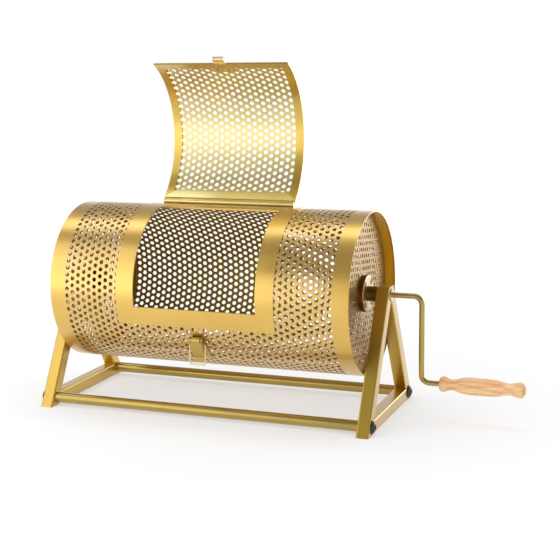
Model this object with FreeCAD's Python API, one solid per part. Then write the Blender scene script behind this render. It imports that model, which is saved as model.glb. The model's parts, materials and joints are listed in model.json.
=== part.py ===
"""Raffle drum with crank, in millimetres.

The drum lies along X on an A-frame stand. Z is up, the stand's feet are on z = 0, and the door faces -Y.
The model is drawn round the middle of the drum, and then moved so that the origin is under the crank-side foot.
Places on the drum are given by an angle in degrees: 0 is the front (-Y), 90 the top, negative below the front.
The model is drawn with the door closed, then the door, its hook and its hinge leaf are swung open.
"""
import FreeCAD, Part
import math
import os

V = FreeCAD.Vector
os.makedirs("parts", exist_ok=True)

# Drum
drum_d = 240.0
drum_len = 465.0
shell_t = 1.2
axis_h = 182.0
sheet_fit = 0.03
end_recess = 15.0
end_t = 1.2
end_flange = 13.0
end_fit = 0.05

# Plain grid of windows that stands for the round punched holes
vent_margin = 23.5
vent_columns = 12
vent_rows = 16
vent_share = 0.55
vent_clear = 3.0
door_vent_columns = 8
door_vent_rows = 9

# Plate round the door opening
plate_t = 1.2
opening_w = 191.0
opening_low = -7.5
opening_high = 80.5
plate_side = 27.5
plate_low = -20.7
plate_high = 109.0

# Door
door_w = 214.0
door_edge_low = -17.0
door_gap = 0.4
border_t = 1.5
border_w = 13.0
panel_t = 1.0
door_open = 134.0

# Hinge
hinge_angle = 97.5
knuckle_r = 3.7
knuckle_gap = 0.3
knuckle_lift = 0.1
pin_r = 1.75
run_fit = 0.05
leaf_t = 1.2
leaf_w = 18.0
knuckle_ends = (106.0, 79.0, 53.0)
knuckle_free = 0.8
hinge_rivet_r = 1.6
hinge_rivet_x = (92.0, 66.0, 25.0)

# Stand
tube = 19.0
wall = 1.5
tube_round = 2.0
frame_gap = 9.0
foot_half = 117.5
apex_half = 11.2
apex_above = 12.7
cap_t = 1.5
rod_r = 8.0
rod_inward = 1.6
rod_z = 12.0
rod_bore_depth = 25.0
bolt_r = 4.0
bolt_head_r = 10.0
bolt_head_h = 5.5
bolt_reach = 20.0
bolt_socket = 6.0
bolt_fit = 0.1

# Bearings, hubs and axles
axle_r = 4.0
bush_r = 7.0
bush_flange_r = 9.5
bush_flange_t = 1.5
sleeve_r = 11.1
end_play = 0.5
hub_r = 27.0
hub_t = 8.0
hub_collar_r = 14.0
hub_collar_len = 16.0
hub_rivet_pcd = 42.0
hub_rivet_r = 2.5
set_screw_r = 2.5
axle_inner = 3.0
axle_cap_r = 8.0
axle_cap_t = 3.5
axle_cap_gap = 0.3

# Crank and grip
crank_out = 45.0
crank_drop = 126.6
crank_bend = 12.0
grip_start = 28.5
grip_len = 120.0
grip_flare_r = 11.3
grip_waist_r = 8.4
grip_belly_r = 12.4
grip_fit = 0.08
grip_play = 0.3
washer_r = 7.0
washer_t = 1.2
end_cap_r = 6.0
end_cap_t = 2.2

# Latch
latch_w = 20.0
latch_high = -24.5
latch_low = -52.0
latch_t = 1.2
latch_pivot = -29.0
latch_pivot_lift = 5.3
ear_r = 3.2
ear_t = 1.2
lever_w = 19.0
lever_side_gap = 0.3
lever_t = 1.2
lever_depth = 6.5
lever_top = 3.0
lever_len = 33.0
lever_lean = 26.0
lever_pin_r = 1.5
pin_stub = 0.6
bail_r = 1.1
bail_down = 8.0
bail_top_half = 12.2
bail_low_half = 12.0
bail_foot = 6.4
bail_bend = 2.4
bail_low_bend = 2.8
latch_rivets = (-39.0, -48.0)
latch_rivet_r = 2.0

# Hook on the door
hook_w = 18.0
hook_plate_w = 38.0
hook_t = 1.4
hook_from = 26.0
hook_past = 5.2
hook_bend = 2.2
hook_lip = 5.0
hook_rivet_x = 13.7
hook_rivet_in = 20.0
hook_rivet_r = 1.8

# Derived places
shell_r = drum_d / 2
shell_in = shell_r - shell_t
plate_r = shell_r + plate_t
half_len = drum_len / 2
disc_x = half_len - end_recess
frame_in = half_len + frame_gap
frame_out = frame_in + tube
door_in = plate_r + door_gap
border_out = door_in + border_t
panel_in = border_out + sheet_fit
door_out = panel_in + panel_t
base_in = shell_r + sheet_fit
hinge_r = plate_r + knuckle_lift + knuckle_r
hub_out = disc_x + hub_t
sleeve_start = hub_out + end_play
apex_h = axis_h + apex_above
lean = math.atan2(foot_half - apex_half, apex_h)
leg_span = tube / math.cos(lean)
slope = math.tan(lean)
rod_y = foot_half - slope * rod_z - leg_span / 2 - rod_inward
shaft_in = disc_x - hub_collar_len - axle_inner
foot_x = frame_in + tube / 2


def at(radius, angle):
    """Y and Z of a point at a radius and angle on the drum."""
    a = math.radians(angle)
    return -radius * math.cos(a), axis_h + radius * math.sin(a)


def arc_deg(length, radius):
    """Angle in degrees that an arc of this length takes at this radius."""
    return math.degrees(length / radius)


hinge_y, hinge_z = at(hinge_r, hinge_angle)
door_start = hinge_angle - arc_deg(knuckle_r + knuckle_free + 0.6, hinge_r)


def rod_x(radius, x0, x1, y=0.0, z=axis_h):
    """Round bar along X."""
    return Part.makeCylinder(radius, x1 - x0, V(x0, y, z), V(1, 0, 0))


def sector(r_in, r_out, x0, x1, low, high):
    """Piece of a rolled sheet between two radii, two X values and two angles."""
    mid = (low + high) / 2
    edges = [
        Part.Arc(V(x0, *at(r_out, low)), V(x0, *at(r_out, mid)), V(x0, *at(r_out, high))).toShape(),
        Part.LineSegment(V(x0, *at(r_out, high)), V(x0, *at(r_in, high))).toShape(),
        Part.Arc(V(x0, *at(r_in, high)), V(x0, *at(r_in, mid)), V(x0, *at(r_in, low))).toShape(),
        Part.LineSegment(V(x0, *at(r_in, low)), V(x0, *at(r_out, low))).toShape(),
    ]
    return Part.Face(Part.Wire(edges)).extrude(V(x1 - x0, 0, 0))


def prism(points, x0, x1):
    """Flat outline in Y and Z, extruded along X."""
    ring = [V(x0, y, z) for y, z in points]
    return Part.Face(Part.makePolygon(ring + ring[:1])).extrude(V(x1 - x0, 0, 0))


def pipe(points, radius, bends):
    """Round bar along a polyline, with a bend radius for each corner."""
    edges = []
    start = points[0]
    for before, corner, after, bend in zip(points, points[1:], points[2:], bends):
        back = (before - corner).normalize()
        ahead = (after - corner).normalize()
        half = back.getAngle(ahead) / 2
        cut = bend / math.tan(half)
        entry = corner + back * cut
        leave = corner + ahead * cut
        centre = corner + (back + ahead).normalize() * (bend / math.sin(half))
        middle = centre + (corner - centre).normalize() * bend
        edges.append(Part.LineSegment(start, entry).toShape())
        edges.append(Part.Arc(entry, middle, leave).toShape())
        start = leave
    edges.append(Part.LineSegment(start, points[-1]).toShape())
    path = Part.Wire(edges)
    along = points[1] - points[0]
    ring = Part.Wire(Part.makeCircle(radius, points[0], along))
    return path.makePipeShell([ring], True, False)


def radial(radius, r0, r1, x, angle):
    """Round bar that points out of the drum."""
    y0, z0 = at(r0, angle)
    y1, z1 = at(r1, angle)
    return Part.makeCylinder(radius, r1 - r0, V(x, y0, z0), V(0, y1 - y0, z1 - z0))


def rivet(radius, r0, r1, x, angle, head=1.8):
    """Rivet through a sheet from radius r0 out to r1, with a domed head outside."""
    y1, z1 = at(r1, angle)
    out = V(0, y1, z1 - axis_h).normalize()
    shank = radial(radius, r0, r1, x, angle)
    dome = Part.makeSphere(radius * head, V(x, y1, z1), out, 0, 90, 360)
    squat = Part.makeCylinder(radius * head, radius * 0.9, V(x, y1, z1), out)
    return shank.fuse(dome.common(squat)).removeSplitter()


def mirrored(shape):
    """The same piece at the other end of the drum."""
    return shape.mirror(V(0, 0, 0), V(1, 0, 0))


def swung(shape):
    """A door piece, moved from closed to the open rest position."""
    turned = shape.copy()
    turned.rotate(V(0, hinge_y, hinge_z), V(1, 0, 0), -door_open)
    return turned


def save(name, shape):
    """Write one node, with the origin in the middle of the crank-side foot's underside."""
    moved = shape.translated(V(-foot_x, 0, 0))
    moved.exportStep(f"parts/{name}.step")
    solids = moved.Solids
    print(f"{name:24s} solids {len(solids)} volume {shape.Volume:10.1f} valid {shape.isValid()}")


# Stand: square tube legs, mitred together at the apex
leg_top = apex_h - cap_t


def leg_outline(inset, span, top, bottom):
    """Front leg between its outer and inner slanted lines, cut at the mitre plane."""
    def outer(z):
        return -(apex_half + slope * (apex_h - z)) + inset
    crotch = min(top, apex_h - (span - inset - apex_half) / slope)
    points = [(outer(top), top), (outer(bottom), bottom), (outer(bottom) + span - inset, bottom)]
    points.append((0.0, crotch))
    if crotch < top:
        points.append((0.0, top))
    return points


def rounded(tube_body, direction):
    """Square tube with its long outer edges rounded."""
    long_edges = []
    for edge in tube_body.Edges:
        start, end = edge.Vertexes[0].Point, edge.Vertexes[-1].Point
        along = end - start
        if along.Length > 3 * tube and along.cross(direction).Length < 1e-6 * along.Length:
            long_edges.append(edge)
    return tube_body.makeFillet(tube_round, long_edges)


def leg_tube():
    body = prism(leg_outline(0.0, leg_span, leg_top, 0.0), frame_in, frame_out)
    body = rounded(body, V(0, slope, 1).normalize())
    in_wall = wall / math.cos(lean)
    hollow = prism(leg_outline(in_wall, leg_span - in_wall, leg_top + 1, -1.0), frame_in + wall, frame_out - wall)
    leg = body.cut(hollow)
    bolt_hole = rod_x(bolt_r + bolt_fit, frame_in - 1, frame_out + 1, -rod_y, rod_z)
    return leg.cut(bolt_hole).cut(rod_x(bush_r, frame_in - 1, frame_out + 1))


def inner_line(z):
    return foot_half - slope * z - leg_span


front_leg = leg_tube()
rear_leg = front_leg.mirror(V(0, 0, 0), V(0, 1, 0))
bar_outline = [(-inner_line(0), 0), (inner_line(0), 0), (inner_line(tube), tube), (-inner_line(tube), tube)]
bar_bore = Part.makeBox(tube - 2 * wall, 2 * foot_half, tube - 2 * wall, V(frame_in + wall, -foot_half, wall))
foot_bar = rounded(prism(bar_outline, frame_in, frame_out), V(0, 1, 0)).cut(bar_bore)
cap_low = apex_half + slope * cap_t
apex_cap = prism([(-cap_low, leg_top), (cap_low, leg_top), (apex_half, apex_h), (-apex_half, apex_h)],
                 frame_in, frame_out)
sleeve = rod_x(sleeve_r, sleeve_start, frame_in).cut(rod_x(bush_r, sleeve_start - 1, frame_in + 1))
bush = rod_x(bush_r, sleeve_start, frame_out).fuse(rod_x(bush_flange_r, frame_out, frame_out + bush_flange_t))
bush = bush.cut(rod_x(axle_r + run_fit, sleeve_start - 1, frame_out + bush_flange_t + 1)).removeSplitter()

for side, place in (("right", lambda s: s), ("left", mirrored)):
    save(f"{side}_front_leg", place(front_leg))
    save(f"{side}_rear_leg", place(rear_leg))
    save(f"{side}_foot_bar", place(foot_bar))
    save(f"{side}_apex_cap", place(apex_cap))
    save(f"{side}_bearing_sleeve", place(sleeve))
    save(f"{side}_bearing_bush", place(bush))


# Cross rods, drilled at both ends for the frame bolts
def cross_rod(y):
    rod = rod_x(rod_r, -frame_in, frame_in, y, rod_z)
    for x0, x1 in ((frame_in - rod_bore_depth, frame_in + 1), (-frame_in - 1, -frame_in + rod_bore_depth)):
        rod = rod.cut(rod_x(bolt_r, x0, x1, y, rod_z))
    return rod


save("front_cross_rod", cross_rod(-rod_y))
save("rear_cross_rod", cross_rod(rod_y))


# Button-head bolts through the legs into the rods
def frame_bolt(y):
    head = rod_x(bolt_head_r, frame_out, frame_out + bolt_head_h, y, rod_z)
    ball_r = (bolt_head_r ** 2 + bolt_head_h ** 2) / (2 * bolt_head_h) + 2.0
    ball = Part.makeSphere(ball_r, V(frame_out + bolt_head_h - ball_r, y, rod_z))
    corners = []
    for i in range(6):
        a = math.radians(60 * i)
        corners.append((y + bolt_socket / 2 * math.cos(a), rod_z + bolt_socket / 2 * math.sin(a)))
    socket = prism(corners, frame_out + bolt_head_h * 0.4, frame_out + bolt_head_h + 1)
    shank = rod_x(bolt_r, frame_in - bolt_reach, frame_out, y, rod_z)
    return head.common(ball).cut(socket).fuse(shank).removeSplitter()


bolts = []
for y in (-rod_y, rod_y):
    bolts.append(frame_bolt(y))
    bolts.append(mirrored(frame_bolt(y)))
save("frame_bolts", Part.makeCompound(bolts))

# Rivet holes of the hinge and the latch, used by every sheet that the rivets pass through
leaf_deg = arc_deg(leaf_w, plate_r)
leaf_edge = hinge_angle + arc_deg(knuckle_r + knuckle_free, plate_r)
hinge_rivet_angle = leaf_edge + leaf_deg * 0.55
hinge_rivet_places = [(x * s, hinge_rivet_angle) for x in hinge_rivet_x for s in (-1, 1)]
latch_rivet_places = [(0.0, a) for a in latch_rivets]


def drilled(shape, places, radius, r0, r1):
    """Sheet with round holes at places given as X and angle."""
    for x, angle in places:
        shape = shape.cut(radial(radius, r0, r1, x, angle))
    return shape


def vents(r0, r1, half_x, low, high, columns, rows, covered):
    """Grid of windows in a rolled sheet, left out where a piece covers it from -x to x and between two angles."""
    wide = 2 * half_x / columns
    tall = (high - low) / rows
    half_w = wide * vent_share / 2
    half_a = tall * vent_share / 2
    cutters = []
    for i in range(columns):
        x = -half_x + wide * (i + 0.5)
        for j in range(rows):
            a = low + tall * (j + 0.5)
            hidden = [c for c in covered if abs(x) - half_w < c[0] and a + half_a > c[1] and a - half_a < c[2]]
            if not hidden:
                cutters.append(sector(r0, r1, x - half_w, x + half_w, a - half_a, a + half_a))
    return Part.makeCompound(cutters)


# Drum shell, with the door opening
shell = rod_x(shell_r, -half_len, half_len).cut(rod_x(shell_in, -half_len - 1, half_len + 1))
opening = sector(shell_in - 10, door_out + 20, -opening_w / 2, opening_w / 2, opening_low, opening_high)
shell = shell.cut(opening)
shell = drilled(shell, hinge_rivet_places, hinge_rivet_r, shell_in - 2, shell_r + 2)
shell = drilled(shell, latch_rivet_places, latch_rivet_r, shell_in - 2, shell_r + 2)
plate_half = opening_w / 2 + plate_side
clear_deg = arc_deg(vent_clear, shell_r)
covered = [(plate_half + vent_clear, plate_low - clear_deg, plate_high + clear_deg),
           (latch_w / 2 + vent_clear, latch_low - clear_deg, latch_high + clear_deg)]
shell = shell.cut(vents(shell_in - 2, shell_r + 2, half_len - vent_margin, -180, 180, vent_columns, vent_rows,
                        covered))
save("drum_shell", shell)

# Curved plate round the opening
plate = sector(shell_r, plate_r, -plate_half, plate_half, plate_low, plate_high).cut(opening)
plate = drilled(plate, hinge_rivet_places, hinge_rivet_r, shell_r - 2, plate_r + 2)
save("door_frame", plate)

# End discs: flat pans with a rolled flange that lies inside the shell
hub_rivet_places = [(hub_rivet_pcd / 2 * math.cos(math.radians(a)), hub_rivet_pcd / 2 * math.sin(math.radians(a)))
                    for a in (45, 135, 225, 315)]
disc = rod_x(shell_in - end_fit, disc_x - end_t, disc_x)
flange = rod_x(shell_in - end_fit, disc_x - end_t, disc_x + end_flange)
flange = flange.cut(rod_x(shell_in - end_fit - end_t, disc_x - end_t - 1, disc_x + end_flange + 1))
end_disc = disc.fuse(flange).cut(rod_x(hub_collar_r, disc_x - 5, disc_x + 5)).removeSplitter()
for y, z in hub_rivet_places:
    end_disc = end_disc.cut(rod_x(hub_rivet_r, disc_x - 5, disc_x + 5, y, axis_h + z))

# Hub: a thick round flange outside the disc and a collar that reaches into the drum
hub = rod_x(hub_r, disc_x, hub_out).fuse(rod_x(hub_collar_r, disc_x - hub_collar_len, disc_x))
hub = hub.cut(rod_x(axle_r, disc_x - hub_collar_len - 1, hub_out + 1)).removeSplitter()
screw_x = disc_x - hub_collar_len * 0.6
hub = hub.cut(Part.makeCylinder(set_screw_r, hub_r, V(screw_x, 0, axis_h), V(0, 0, 1)))
for y, z in hub_rivet_places:
    hub = hub.cut(rod_x(hub_rivet_r, disc_x - 1, hub_out + 1, y, axis_h + z))
rim = [e for e in hub.Edges if abs(e.BoundBox.XMin - hub_out) < 1e-6 and e.BoundBox.ZLength > 2 * hub_r - 1]
hub = hub.makeFillet(1.5, rim)


def hub_rivet(y, z):
    """Rivet with a low domed head against the hub's outer face."""
    shank = rod_x(hub_rivet_r, disc_x - end_t, hub_out, y, axis_h + z)
    tail = rod_x(hub_rivet_r * 1.5, disc_x - end_t - 1.2, disc_x - end_t, y, axis_h + z)
    low_head = rod_x(hub_rivet_r * 1.8, hub_out, hub_out + 0.3, y, axis_h + z)
    return shank.fuse([tail, low_head]).removeSplitter()


rivets = [hub_rivet(y, z) for y, z in hub_rivet_places]
set_screw = Part.makeCylinder(set_screw_r, hub_collar_r - axle_r, V(screw_x, 0, axis_h + axle_r), V(0, 0, 1))
for side, place in (("right", lambda s: s), ("left", mirrored)):
    save(f"{side}_end_disc", place(end_disc))
    save(f"{side}_hub", place(hub))
save("hub_rivets", Part.makeCompound(rivets + [mirrored(r) for r in rivets]))
save("hub_set_screws", Part.makeCompound([set_screw, mirrored(set_screw)]))

# Left axle and the cap that keeps it in its bush
cap_x = frame_out + bush_flange_t + axle_cap_gap
left_axle = rod_x(axle_r, -(cap_x + axle_cap_t * 0.6), -shaft_in)
axle_cap = rod_x(axle_cap_r, cap_x, cap_x + axle_cap_t).cut(rod_x(axle_r, cap_x - 1, cap_x + axle_cap_t * 0.6))
save("left_axle", left_axle)
save("left_axle_cap", mirrored(axle_cap))

# Crank rod: out of the hub, down, and out again for the grip
arm_x = frame_out + crank_out
grip_x = arm_x + grip_start
grip_end = grip_x + grip_len
grip_z = axis_h - crank_drop
rod_end = grip_end + grip_play + end_cap_t * 0.6
crank_path = [V(shaft_in, 0, axis_h), V(arm_x, 0, axis_h), V(arm_x, 0, grip_z), V(rod_end, 0, grip_z)]
save("crank_rod", pipe(crank_path, axle_r, [crank_bend, crank_bend]))

washer_x = grip_x - grip_play - washer_t
washer = rod_x(washer_r, washer_x, washer_x + washer_t, 0, grip_z)
save("grip_washer", washer.cut(rod_x(axle_r, washer_x - 1, washer_x + 5, 0, grip_z)))
end_cap = rod_x(end_cap_r, grip_end + grip_play, grip_end + grip_play + end_cap_t, 0, grip_z)
end_cap = end_cap.cut(rod_x(axle_r, grip_end - 1, rod_end, 0, grip_z))
save("grip_end_cap", end_cap)


# Turned grip: flared ends, two waists and a belly
def grip_profile():
    marks = [(0.0, grip_flare_r - 1.6), (0.025, grip_flare_r - 0.2), (0.05, grip_flare_r - 0.1),
             (0.105, grip_waist_r), (0.25, (grip_waist_r + grip_belly_r) / 2 + 0.4), (0.5, grip_belly_r),
             (0.72, (grip_waist_r + grip_belly_r) / 2 + 0.5), (0.83, grip_waist_r + 0.2),
             (0.94, grip_flare_r - 0.1), (0.97, grip_flare_r), (1.0, grip_flare_r - 1.6)]
    return [V(grip_x + share * grip_len, 0, grip_z + r) for share, r in marks]


curve = Part.BSplineCurve()
outline_points = grip_profile()
curve.interpolate(outline_points)
bore_z = grip_z + axle_r + grip_fit
left_end = V(grip_x, 0, bore_z)
right_end = V(grip_end, 0, bore_z)
grip_face = Part.Face(Part.Wire([
    curve.toShape(),
    Part.LineSegment(outline_points[-1], right_end).toShape(),
    Part.LineSegment(right_end, left_end).toShape(),
    Part.LineSegment(left_end, outline_points[0]).toShape(),
]))
grip_solid = grip_face.revolve(V(0, 0, grip_z), V(1, 0, 0), 360)
save("crank_grip", grip_solid)

# Hinge: five knuckles on one pin, three on the drum leaf and two on the door leaf
outer_end, second, third = knuckle_ends
drum_knuckles = [(-outer_end, -second), (-third, third), (second, outer_end)]
door_knuckles = [(-second, -third), (third, second)]


def hinge_leaf(spans, r0, low, high, bore, neck_low, neck_high):
    """Rolled leaf: a curved strip, knuckles round the pin and a neck from each knuckle to the strip."""
    leaf = sector(r0, r0 + leaf_t, -outer_end, outer_end, low, high)
    for x0, x1 in spans:
        a = x0 + knuckle_gap / 2 * (x0 > -outer_end)
        b = x1 - knuckle_gap / 2 * (x1 < outer_end)
        leaf = leaf.fuse(rod_x(knuckle_r, a, b, hinge_y, hinge_z))
        leaf = leaf.fuse(sector(r0, r0 + leaf_t, a, b, neck_low, neck_high))
    return leaf.cut(rod_x(bore, -outer_end - 1, outer_end + 1, hinge_y, hinge_z)).removeSplitter()


drum_leaf = hinge_leaf(drum_knuckles, plate_r, leaf_edge, leaf_edge + leaf_deg, pin_r, hinge_angle, leaf_edge + 0.5)
drum_leaf = drilled(drum_leaf, hinge_rivet_places, hinge_rivet_r, plate_r - 2, plate_r + leaf_t + 2)
save("hinge_drum_leaf", drum_leaf)
save("hinge_pin", rod_x(pin_r, -outer_end, outer_end, hinge_y, hinge_z))
hinge_rivets = [rivet(hinge_rivet_r, shell_in, plate_r + leaf_t, x, a) for x, a in hinge_rivet_places]
save("hinge_rivets", Part.makeCompound(hinge_rivets))

door_leaf_high = hinge_angle - arc_deg(knuckle_r + knuckle_free, door_out)
door_leaf = hinge_leaf(door_knuckles, door_out, door_leaf_high - arc_deg(leaf_w, door_out), door_leaf_high,
                       pin_r + run_fit, door_leaf_high - 0.5, hinge_angle)
save("hinge_door_leaf", swung(door_leaf))

# Door: curved panel with four mitred border strips on its inner face
door_half = door_w / 2
border_deg = arc_deg(border_w, door_in)
hook_rivet_angle = door_edge_low + arc_deg(hook_rivet_in, door_out)
hook_rivet_places = [(-hook_rivet_x, hook_rivet_angle), (hook_rivet_x, hook_rivet_angle)]
panel = sector(panel_in, door_out, -door_half, door_half, door_edge_low, door_start)
panel = drilled(panel, hook_rivet_places, hook_rivet_r, panel_in - 2, door_out + 2)
door_vent_low = door_edge_low + arc_deg(border_w + vent_clear, door_in)
door_vent_high = door_start - arc_deg(leaf_w + vent_clear, door_in)
hook_top = door_edge_low + arc_deg(hook_rivet_in + 3 * vent_clear, door_out)
panel = panel.cut(vents(panel_in - 2, door_out + 2, door_half - border_w - vent_clear, door_vent_low,
                        door_vent_high, door_vent_columns, door_vent_rows,
                        [(hook_plate_w / 2 + vent_clear, door_edge_low, hook_top)]))
save("door_panel", swung(panel))

border = sector(door_in, border_out, -door_half, door_half, door_edge_low, door_start)
window = sector(door_in - 2, border_out + 2, -door_half + border_w, door_half - border_w,
                door_edge_low + border_deg, door_start - border_deg)
border = border.cut(window)


def corner_cutter(sx, edge_angle, inner_angle):
    """Flat-sided block on the end strip's side of one mitre line."""
    far = 3 * border_w
    dx = -sx * border_w
    y0, z0 = at(door_in, edge_angle)
    y1, z1 = at(door_in, inner_angle)
    out = V(0, y0 + y1, z0 + z1 - 2 * axis_h).normalize()
    corner = V(sx * door_half, y0, z0)
    inner = V(sx * door_half + dx, y1, z1)
    along = inner - corner
    past = corner - along
    deep = inner + along * 0.001
    side = V(-sx * far, 0, 0)
    base = [past, deep, deep + side, past + side]
    base = [p - out * 4 for p in base]
    return Part.Face(Part.makePolygon(base + base[:1])).extrude(out * 12)


ends = {}
for name, edge, inner in (("bottom", door_start, door_start - border_deg),
                          ("top", door_edge_low, door_edge_low + border_deg)):
    middle = sector(door_in - 1, border_out + 1, -door_half + border_w, door_half - border_w,
                    min(edge, inner), max(edge, inner))
    cutter = middle
    for sx in (-1, 1):
        cutter = cutter.fuse(corner_cutter(sx, edge, inner))
    ends[name] = border.common(cutter)
sides = border.cut(ends["bottom"]).cut(ends["top"])
for name, strip in ends.items():
    save(f"door_border_{name}", swung(strip.removeSplitter()))
left_solids = [s for s in sides.Solids if s.CenterOfMass.x < 0]
right_solids = [s for s in sides.Solids if s.CenterOfMass.x > 0]
save("door_border_left", swung(Part.makeCompound(left_solids)))
save("door_border_right", swung(Part.makeCompound(right_solids)))

# Hook on the door's free edge: a riveted plate that runs past the edge and curls outwards
hook_edge = door_edge_low + arc_deg(hook_from, door_out)
hook_plate = sector(door_out, door_out + hook_t, -hook_plate_w / 2, hook_plate_w / 2, door_edge_low + 1.5, hook_edge)
hook_tongue = sector(door_out, door_out + hook_t, -hook_w / 2, hook_w / 2,
                     door_edge_low - arc_deg(hook_past, door_out), door_edge_low + 2.0)
curl_angle = door_edge_low - arc_deg(hook_past, door_out)
pocket_y, pocket_z = at(door_out + hook_t + hook_bend, curl_angle)
out_y, out_z = at(1.0, curl_angle)
out_dir = V(0, out_y, out_z - axis_h)
up_dir = V(0, -out_dir.z, out_dir.y) * -1
curl = rod_x(hook_bend + hook_t, -hook_w / 2, hook_w / 2, pocket_y, pocket_z)
curl = curl.cut(rod_x(hook_bend, -hook_w, hook_w, pocket_y, pocket_z))
pocket = V(0, pocket_y, pocket_z)
upper = [pocket - out_dir * 20, pocket + out_dir * 20, pocket + out_dir * 20 + up_dir * 20,
         pocket - out_dir * 20 + up_dir * 20]
curl = curl.cut(prism([(p.y, p.z) for p in upper], -hook_w, hook_w))
lip_a = pocket + out_dir * hook_bend
lip_b = pocket + out_dir * (hook_bend + hook_t)
lip_points = [lip_a, lip_b, lip_b + up_dir * hook_lip, lip_a + up_dir * hook_lip]
lip = prism([(p.y, p.z) for p in lip_points], -hook_w / 2, hook_w / 2)
hook = hook_plate.fuse([hook_tongue, curl, lip]).removeSplitter()
hook = drilled(hook, hook_rivet_places, hook_rivet_r, door_out - 2, door_out + hook_t + 2)
save("door_hook", swung(hook))
hook_rivets = []
for x, angle in hook_rivet_places:
    tail = radial(hook_rivet_r * 1.7, panel_in - 1.1, panel_in, x, angle)
    tail = tail.common(rod_x(panel_in, -door_half, door_half))
    hook_rivets.append(rivet(hook_rivet_r, panel_in - 0.5, door_out + hook_t, x, angle).fuse(tail))
save("hook_rivets", swung(Part.makeCompound(hook_rivets)))

# Latch base: a plate on the drum with two ears for the lever's pin
lever_half = lever_w / 2
ear_x = lever_half - lever_t - lever_side_gap
pivot_r = base_in + latch_t + latch_pivot_lift
pivot_y, pivot_z = at(pivot_r, latch_pivot)
base = sector(base_in, base_in + latch_t, -latch_w / 2, latch_w / 2, latch_low, latch_high)
for sx in (-1, 1):
    x0, x1 = sorted((sx * (ear_x - ear_t), sx * ear_x))
    ear = rod_x(ear_r, x0, x1, pivot_y, pivot_z)
    spread = arc_deg(ear_r, pivot_r)
    foot = sector(base_in, pivot_r, x0, x1, latch_pivot - spread, latch_pivot + spread)
    base = base.fuse([ear, foot])
base = base.cut(rod_x(lever_pin_r, -latch_w, latch_w, pivot_y, pivot_z)).removeSplitter()
base = drilled(base, latch_rivet_places, latch_rivet_r, shell_r - 2, base_in + latch_t + 2)
save("latch_base", base)
save("latch_pivot_pin", rod_x(lever_pin_r, -lever_half - pin_stub, lever_half + pin_stub, pivot_y, pivot_z))
latch_rivet_solids = [rivet(latch_rivet_r, shell_in, base_in + latch_t, x, a, 1.6) for x, a in latch_rivet_places]
save("latch_rivets", Part.makeCompound(latch_rivet_solids))

# Latch lever: a channel that hangs from the pin, leaning in towards the drum, with a turned-out tip
tilt = math.radians(lever_lean)
down = V(0, math.sin(tilt), -math.cos(tilt))
proud = V(0, -math.cos(tilt), -math.sin(tilt))
pivot = V(0, pivot_y, pivot_z)


def lever_block(x0, x1, u0, u1, n0, n1):
    """Box in the lever's own directions: u runs down its length, n out of its face."""
    corners = [pivot + down * u + proud * n for u, n in ((u0, n0), (u1, n0), (u1, n1), (u0, n1))]
    return prism([(p.y, p.z) for p in corners], x0, x1)


face_n = ear_r + lever_side_gap
lever_head = face_n + lever_t
lever = lever_block(-lever_half, lever_half, 0.0, lever_len * 0.85, face_n, lever_head)
for sx in (-1, 1):
    x0, x1 = sorted((sx * (lever_half - lever_t), sx * lever_half))
    lever = lever.fuse(lever_block(x0, x1, 0.0, lever_len * 0.6, lever_head - lever_depth, lever_head))
    lever = lever.fuse(rod_x(lever_top, x0, x1, pivot_y, pivot_z))
roll_half = ear_x - ear_t - lever_side_gap
roll = rod_x(lever_head, -roll_half, roll_half, pivot_y, pivot_z)
roll = roll.cut(rod_x(face_n, -lever_half - 1, lever_half + 1, pivot_y, pivot_z))
roll = roll.cut(lever_block(-lever_half - 1, lever_half + 1, 0.0, 20, -20, 20))
lever = lever.fuse(roll)
tip_a = pivot + down * (lever_len * 0.84) + proud * face_n
tip_b = pivot + down * lever_len + proud * (face_n + 2.0)
tip_points = [tip_a, tip_b, tip_b + proud * lever_t, tip_a + proud * lever_t]
lever = lever.fuse(prism([(p.y, p.z) for p in tip_points], -lever_half + 1.5, lever_half - 1.5))
lever = lever.cut(rod_x(lever_pin_r + run_fit, -latch_w, latch_w, pivot_y, pivot_z))
bail_pivot = pivot + down * bail_down
lever = lever.cut(rod_x(bail_r + run_fit, -latch_w, latch_w, bail_pivot.y, bail_pivot.z)).removeSplitter()
save("latch_lever", lever)

# Latch bail: a wire loop that hangs from the lever and is long enough to reach the closed door's hook
closed_pocket = V(0, pocket_y, pocket_z)
bail_len = (closed_pocket - bail_pivot).Length
low_z = bail_pivot.z - bail_len
bail_path = [
    V(-bail_foot, bail_pivot.y, bail_pivot.z),
    V(-bail_top_half, bail_pivot.y, bail_pivot.z),
    V(-bail_low_half, bail_pivot.y, low_z),
    V(bail_low_half, bail_pivot.y, low_z),
    V(bail_top_half, bail_pivot.y, bail_pivot.z),
    V(bail_foot, bail_pivot.y, bail_pivot.z),
]
save("latch_bail", pipe(bail_path, bail_r, [bail_bend, bail_low_bend, bail_low_bend, bail_bend]))
reach = closed_pocket - bail_pivot
bail_swing = 180 - math.degrees(math.atan2(-reach.y, reach.z))

print(f"hinge axis y {hinge_y:.3f} z {hinge_z:.3f}")
print(f"latch pivot y {pivot_y:.3f} z {pivot_z:.3f}")
print(f"bail pivot y {bail_pivot.y:.3f} z {bail_pivot.z:.3f} length {bail_len:.2f} swing to hook {bail_swing:.1f}")
print(f"grip axis z {grip_z:.3f}, frame from x {frame_in:.2f} to {frame_out:.2f}")
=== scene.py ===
# %% [markdown]
# # A raffle drum with a crank
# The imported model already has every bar, bolt and hinge of the drum. What it lacks is the perforation: the
# real drum, its end discs and its door are sheets punched full of round holes. This lesson loads the packed
# model, builds the punched sheets as real meshes, and gives every piece a satin gold, steel or wood finish.

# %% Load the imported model
import json
import math
import bpy
import numpy as np
from mathutils import Matrix, Vector
from mathutils.geometry import delaunay_2d_cdt


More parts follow.
